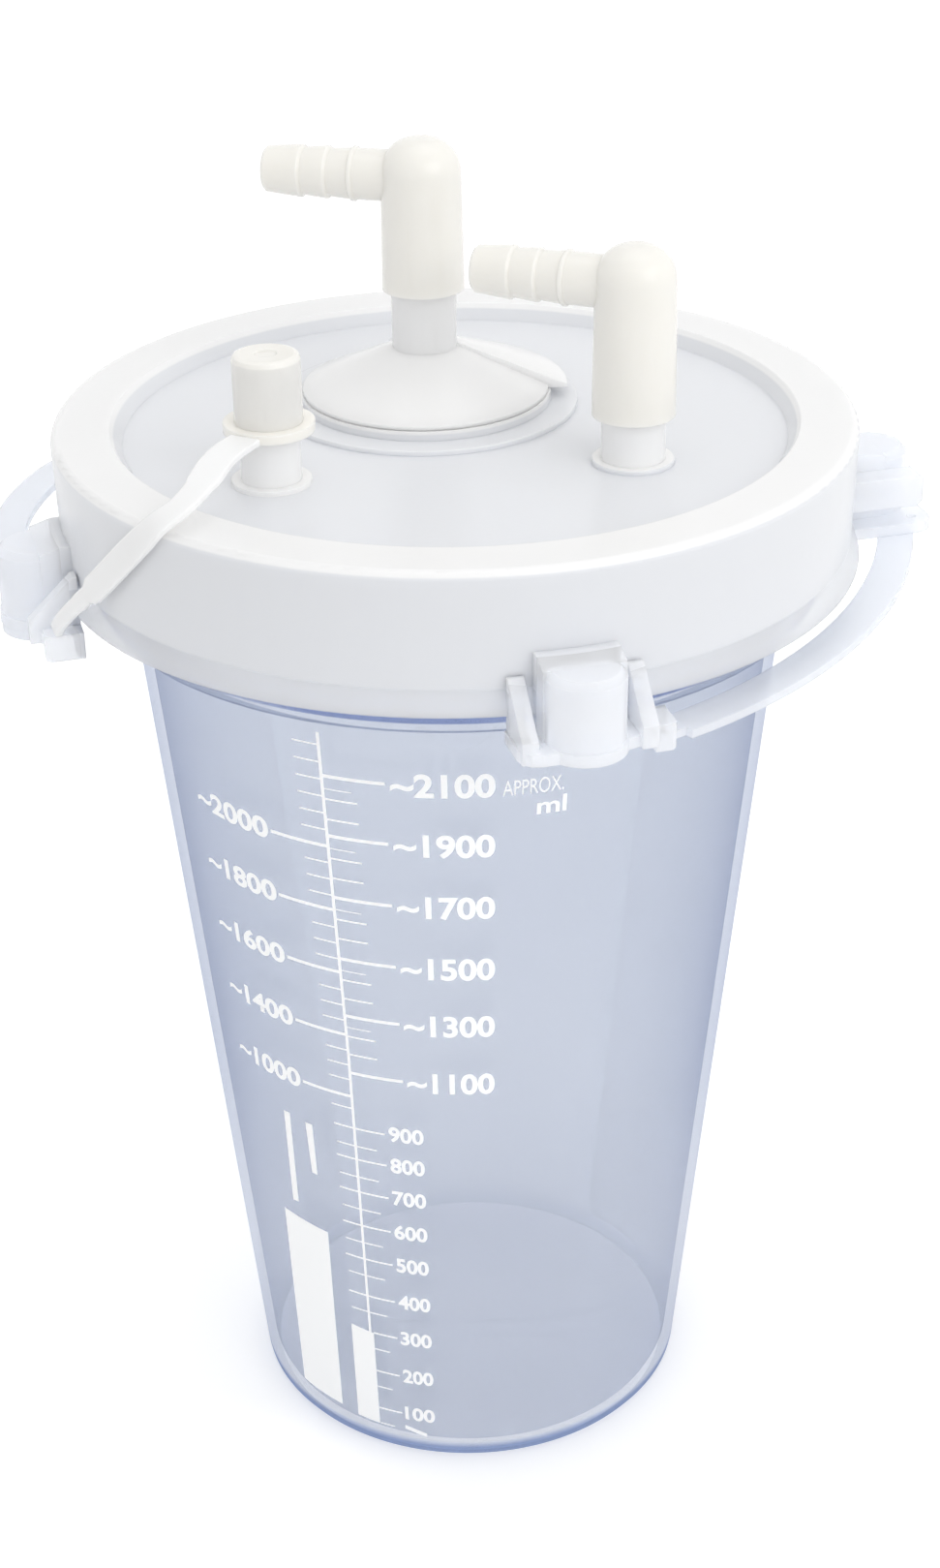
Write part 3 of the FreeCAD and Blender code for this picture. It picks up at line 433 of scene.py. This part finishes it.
print_word("ml", -77.4, -72.2, 185.7, 189.8, 0.02)
print_patch([(-136.9, 10.0), (-123.6, 9.4), (-122.7, 65.8), (-135.6, 66.6)], 12)
print_patch([(-119.0, 8.3), (-113.0, 7.9), (-112.8, 37.9), (-118.6, 38.8)], 6)
print_patch([(-106.4, 8.2), (-101.0, 6.4), (-101.0, 7.6), (-106.4, 9.4)], 6)
print_patch([(-132.2, 71.0), (-130.5, 71.3), (-130.1, 98.2), (-131.8, 98.1)], 2)
print_patch([(-125.4, 82.9), (-124.0, 82.7), (-124.1, 97.6), (-125.9, 97.6)], 2)
print_mesh_data = bpy.data.meshes.new("volume_scale")
print_mesh.to_mesh(print_mesh_data)
print_mesh.free()
volume_scale = bpy.data.objects.new("volume_scale", print_mesh_data)
scene.collection.objects.link(volume_scale)
print_mesh_data.materials.append(ink)
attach(volume_scale, "jar")

# Lid: one moulding of translucent polyethylene, milky with a faint blue cast. The deck and the
# skirt are thick enough to look white; the lugs outside the skirt are thin and let light through.


def let_through(tree, shader, share, colour):
    """Lets a share of the light straight through a material, tinted by a colour."""
    through = mixed(tree, share, shader.outputs[0], glaze(tree, colour).outputs[0])
    tree.links.new(through, tree.nodes["Material Output"].inputs["Surface"])


def milky(name, colour, roughness, depth, clear=0.0, glow=0.0):
    """Translucent plastic: light goes in, scatters and comes out, and a clear share goes through. A glow is
    painted light that stands in for light coming through thin plastic.
    """
    material, tree, shader = new_material(name)
    shader.inputs["Base Color"].default_value = colour + (1,)
    shader.inputs["Roughness"].default_value = roughness
    shader.inputs["IOR"].default_value = 1.45
    shader.inputs["Subsurface Weight"].default_value = 1.0
    shader.inputs["Subsurface Radius"].default_value = (1.0, 1.0, 1.0)
    shader.inputs["Subsurface Scale"].default_value = depth
    shader.inputs["Emission Color"].default_value = colour + (1,)
    shader.inputs["Emission Strength"].default_value = glow
    place = tree.nodes.new("ShaderNodeTexCoord")
    grain = tree.nodes.new("ShaderNodeTexNoise")
    grain.inputs["Scale"].default_value = 900
    grain.inputs["Detail"].default_value = 2
    bump = tree.nodes.new("ShaderNodeBump")
    bump.inputs["Strength"].default_value = 0.06
    bump.inputs["Distance"].default_value = 0.0002
    soft_edge = tree.nodes.new("ShaderNodeBevel")
    soft_edge.samples = 4
    soft_edge.inputs["Radius"].default_value = 0.0004
    tree.links.new(soft_edge.outputs[0], bump.inputs["Normal"])
    tree.links.new(place.outputs["Object"], grain.inputs["Vector"])
    tree.links.new(grain.outputs["Fac"], bump.inputs["Height"])
    tree.links.new(bump.outputs[0], shader.inputs["Normal"])
    if clear:
        let_through(tree, shader, clear, (0.87, 0.905, 0.97))
    return material, tree, shader


LUG_DISTANCE = 0.0878
LUG_PAINTED_GLOW = 0.13
LIP = (0.2170, 0.2224)
RIM = (0.2462, 0.2490)
POST_FROM = 0.2485
POST_FOOT = 0.0084
POSTS = ((0.03678, -0.02149), (-0.03767, -0.02975))
BLUR = 0.0004
lid_white, tree, shader = milky("lid_polyethylene", (0.90, 0.91, 0.93), 0.24, 0.0015)
distance, height = from_axis(tree)
lugs = number(tree, "GREATER_THAN", distance, LUG_DISTANCE)
lip = within(tree, height, *LIP, BLUR)
lip = number(tree, "MULTIPLY", lip, number(tree, "SUBTRACT", 1, lugs))
# Painted highlight: the rim band is lighter than the deck and the skirt.
painted_rim_highlight = within(tree, height, *RIM, BLUR)
# Painted light: everything above the rim's top, and the posts' feet, are lighter, for the light that comes
# through these thin mouldings.
painted_light_raised = number(tree, "GREATER_THAN", height, POST_FROM)
for post in POSTS:
    foot = number(tree, "LESS_THAN", from_axis(tree, *post)[0], POST_FOOT)
    painted_light_raised = number(tree, "MAXIMUM", painted_light_raised, foot)
shade = by_share(tree, painted_rim_highlight, (0.80, 0.812, 0.838), (0.955, 0.957, 0.965))
shade = by_share(tree, painted_light_raised, shade, (0.965, 0.96, 0.945))
# The lugs are paler: partly the thin plastic's own look, partly painted light.
shade = by_share(tree, lugs, shade, (0.97, 0.975, 0.99))
shade = by_share(tree, lip, shade, (0.93, 0.95, 0.985))
tree.links.new(shade, shader.inputs["Base Color"])
# Painted light: the lugs glow, for the light that comes through their thin walls.
tree.links.new(number(tree, "MULTIPLY", lugs, LUG_PAINTED_GLOW), shader.inputs["Emission Strength"])
clear_share = number(tree, "ADD", number(tree, "MULTIPLY", lugs, 0.42), number(tree, "MULTIPLY", lip, 0.4))
let_through(tree, shader, clear_share, (0.93, 0.95, 0.99))

# Housing, elbows, caps and straps: the solids' own shapes. The parked caps and their straps are
# thin and clearer, the elbows and the cap in use are ivory, and the housing is white.

# The straps glow a little: painted light for the light that comes through their thin plastic.
strap_white = milky("strap_polyethylene", (0.95, 0.96, 0.985), 0.22, 0.001, 0.42, 0.1)[0]
housing_white = milky("housing_plastic", (0.94, 0.94, 0.945), 0.2, 0.002)[0]
ivory = milky("elbow_ivory", (0.915, 0.895, 0.845), 0.17, 0.0012)[0]
strap_ivory = milky("tandem_strap_ivory", (0.95, 0.94, 0.915), 0.2, 0.001, 0.12, 0.07)[0]
finishes = {
    "lid": lid_white, "filter_housing": housing_white, "filter_disc": housing_white,
    "vacuum_elbow": ivory, "patient_elbow": ivory, "tandem_cap": ivory, "tandem_strap": strap_ivory,
    "right_cap": strap_white, "back_cap": strap_white, "left_cap": strap_white,
    "front_strap": strap_white, "right_strap": strap_white, "back_strap": strap_white,
}
for name, finish in finishes.items():
    node = nodes[name]
    node.data.materials.clear()
    node.data.materials.append(finish)

# Strap of the cap on the capped post: a flat moulded band, pulled tight from the cap's flange
# over the lid's edge and down the skirt, where a thin neck joins it to the left lug.


def about_axis(distance, azimuth, height):
    angle = math.radians(azimuth)
    return Vector((distance * math.cos(angle), distance * math.sin(angle), height))


def looking(azimuth, lift):
    """A direction that looks outwards at an azimuth, lifted from level by an angle."""
    return about_axis(math.cos(math.radians(lift)), azimuth, math.sin(math.radians(lift)))


BAND_THICKNESS = 1.5
band_stations = [
    (Vector((-41.9, -38.1, 255.8)), looking(243, 90), 7.0),
    (Vector((-44.9, -43.9, 255.7)), looking(243, 89), 7.0),
    (Vector((-47.0, -49.6, 255.4)), looking(240, 87), 6.9),
    (Vector((-48.5, -55.2, 254.7)), looking(236, 84), 6.8),
    (Vector((-50.4, -59.6, 253.5)), looking(232, 79), 5.9),
    (about_axis(82.4, 229.7, 251.6), looking(230, 72), 5.9),
    (about_axis(85.8, 228.3, 249.2), looking(228, 50), 5.8),
    (about_axis(87.3, 226.0, 245.4), looking(226, 18), 5.8),
    (about_axis(87.5, 222.6, 240.6), looking(222, 3), 5.8),
    (about_axis(87.8, 218.8, 235.2), looking(219, 0), 5.8),
    (about_axis(88.2, 215.0, 230.0), looking(215, 0), 5.8),
    (about_axis(89.0, 212.0, 226.0), looking(212, 0), 3.8),
    (about_axis(90.2, 209.2, 222.0), looking(209, 0), 3.4),
    (about_axis(91.4, 206.4, 217.6), looking(206, 0), 3.5),
    (about_axis(91.9, 205.2, 214.9), looking(205, 0), 3.8),
]


def along_band(share):
    """Middle, facing and width at a share of the way along the band, with a step in its width."""
    place = share * (len(band_stations) - 1)
    i = min(int(place), len(band_stations) - 2)
    t = place - i
    near = [band_stations[min(max(i + k, 0), len(band_stations) - 1)] for k in (-1, 0, 1, 2)]
    # A smooth curve through the stations: the weights of the four nearest ones.
    weights = (-0.5 * t + t * t - 0.5 * t ** 3, 1 - 2.5 * t * t + 1.5 * t ** 3,
               0.5 * t + 2 * t * t - 1.5 * t ** 3, -0.5 * t * t + 0.5 * t ** 3)
    middle = sum((station[0] * weight for station, weight in zip(near, weights)), Vector())
    face = near[1][1].lerp(near[2][1], t).normalized()
    stepped = min(max((t - 0.35) / 0.3, 0), 1)
    return middle, face, near[1][2] * (1 - stepped) + near[2][2] * stepped


bar = bmesh.new()
bmesh.ops.create_cube(bar, size=1)
cuts = 84
for cut in range(1, cuts):
    bmesh.ops.bisect_plane(bar, geom=bar.verts[:] + bar.edges[:] + bar.faces[:],
                           plane_co=(cut / cuts - 0.5, 0, 0), plane_no=(1, 0, 0))
for vertex in bar.verts:
    share = vertex.co.x + 0.5
    middle, face, width = along_band(share)
    ahead_of = along_band(min(share + 0.01, 1))[0] - along_band(max(share - 0.01, 0))[0]
    sideways = face.cross(ahead_of).normalized()
    outwards = ahead_of.cross(sideways).normalized()
    vertex.co = (middle + sideways * vertex.co.y * width + outwards * vertex.co.z * BAND_THICKNESS) * MM
bmesh.ops.recalc_face_normals(bar, faces=bar.faces)
band_mesh = bpy.data.meshes.new("tandem_band")
bar.to_mesh(band_mesh)
bar.free()
tandem_band = bpy.data.objects.new("tandem_band", band_mesh)
scene.collection.objects.link(tandem_band)
soft = tandem_band.modifiers.new("soft_edges", "BEVEL")
soft.width = 0.0003
soft.segments = 2
soft.limit_method = "ANGLE"
soft.angle_limit = math.radians(50)
smooth(tandem_band, 40)
band_mesh.materials.append(strap_ivory)
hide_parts("tandem_strap")
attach(tandem_band, "lid")

low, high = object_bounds()
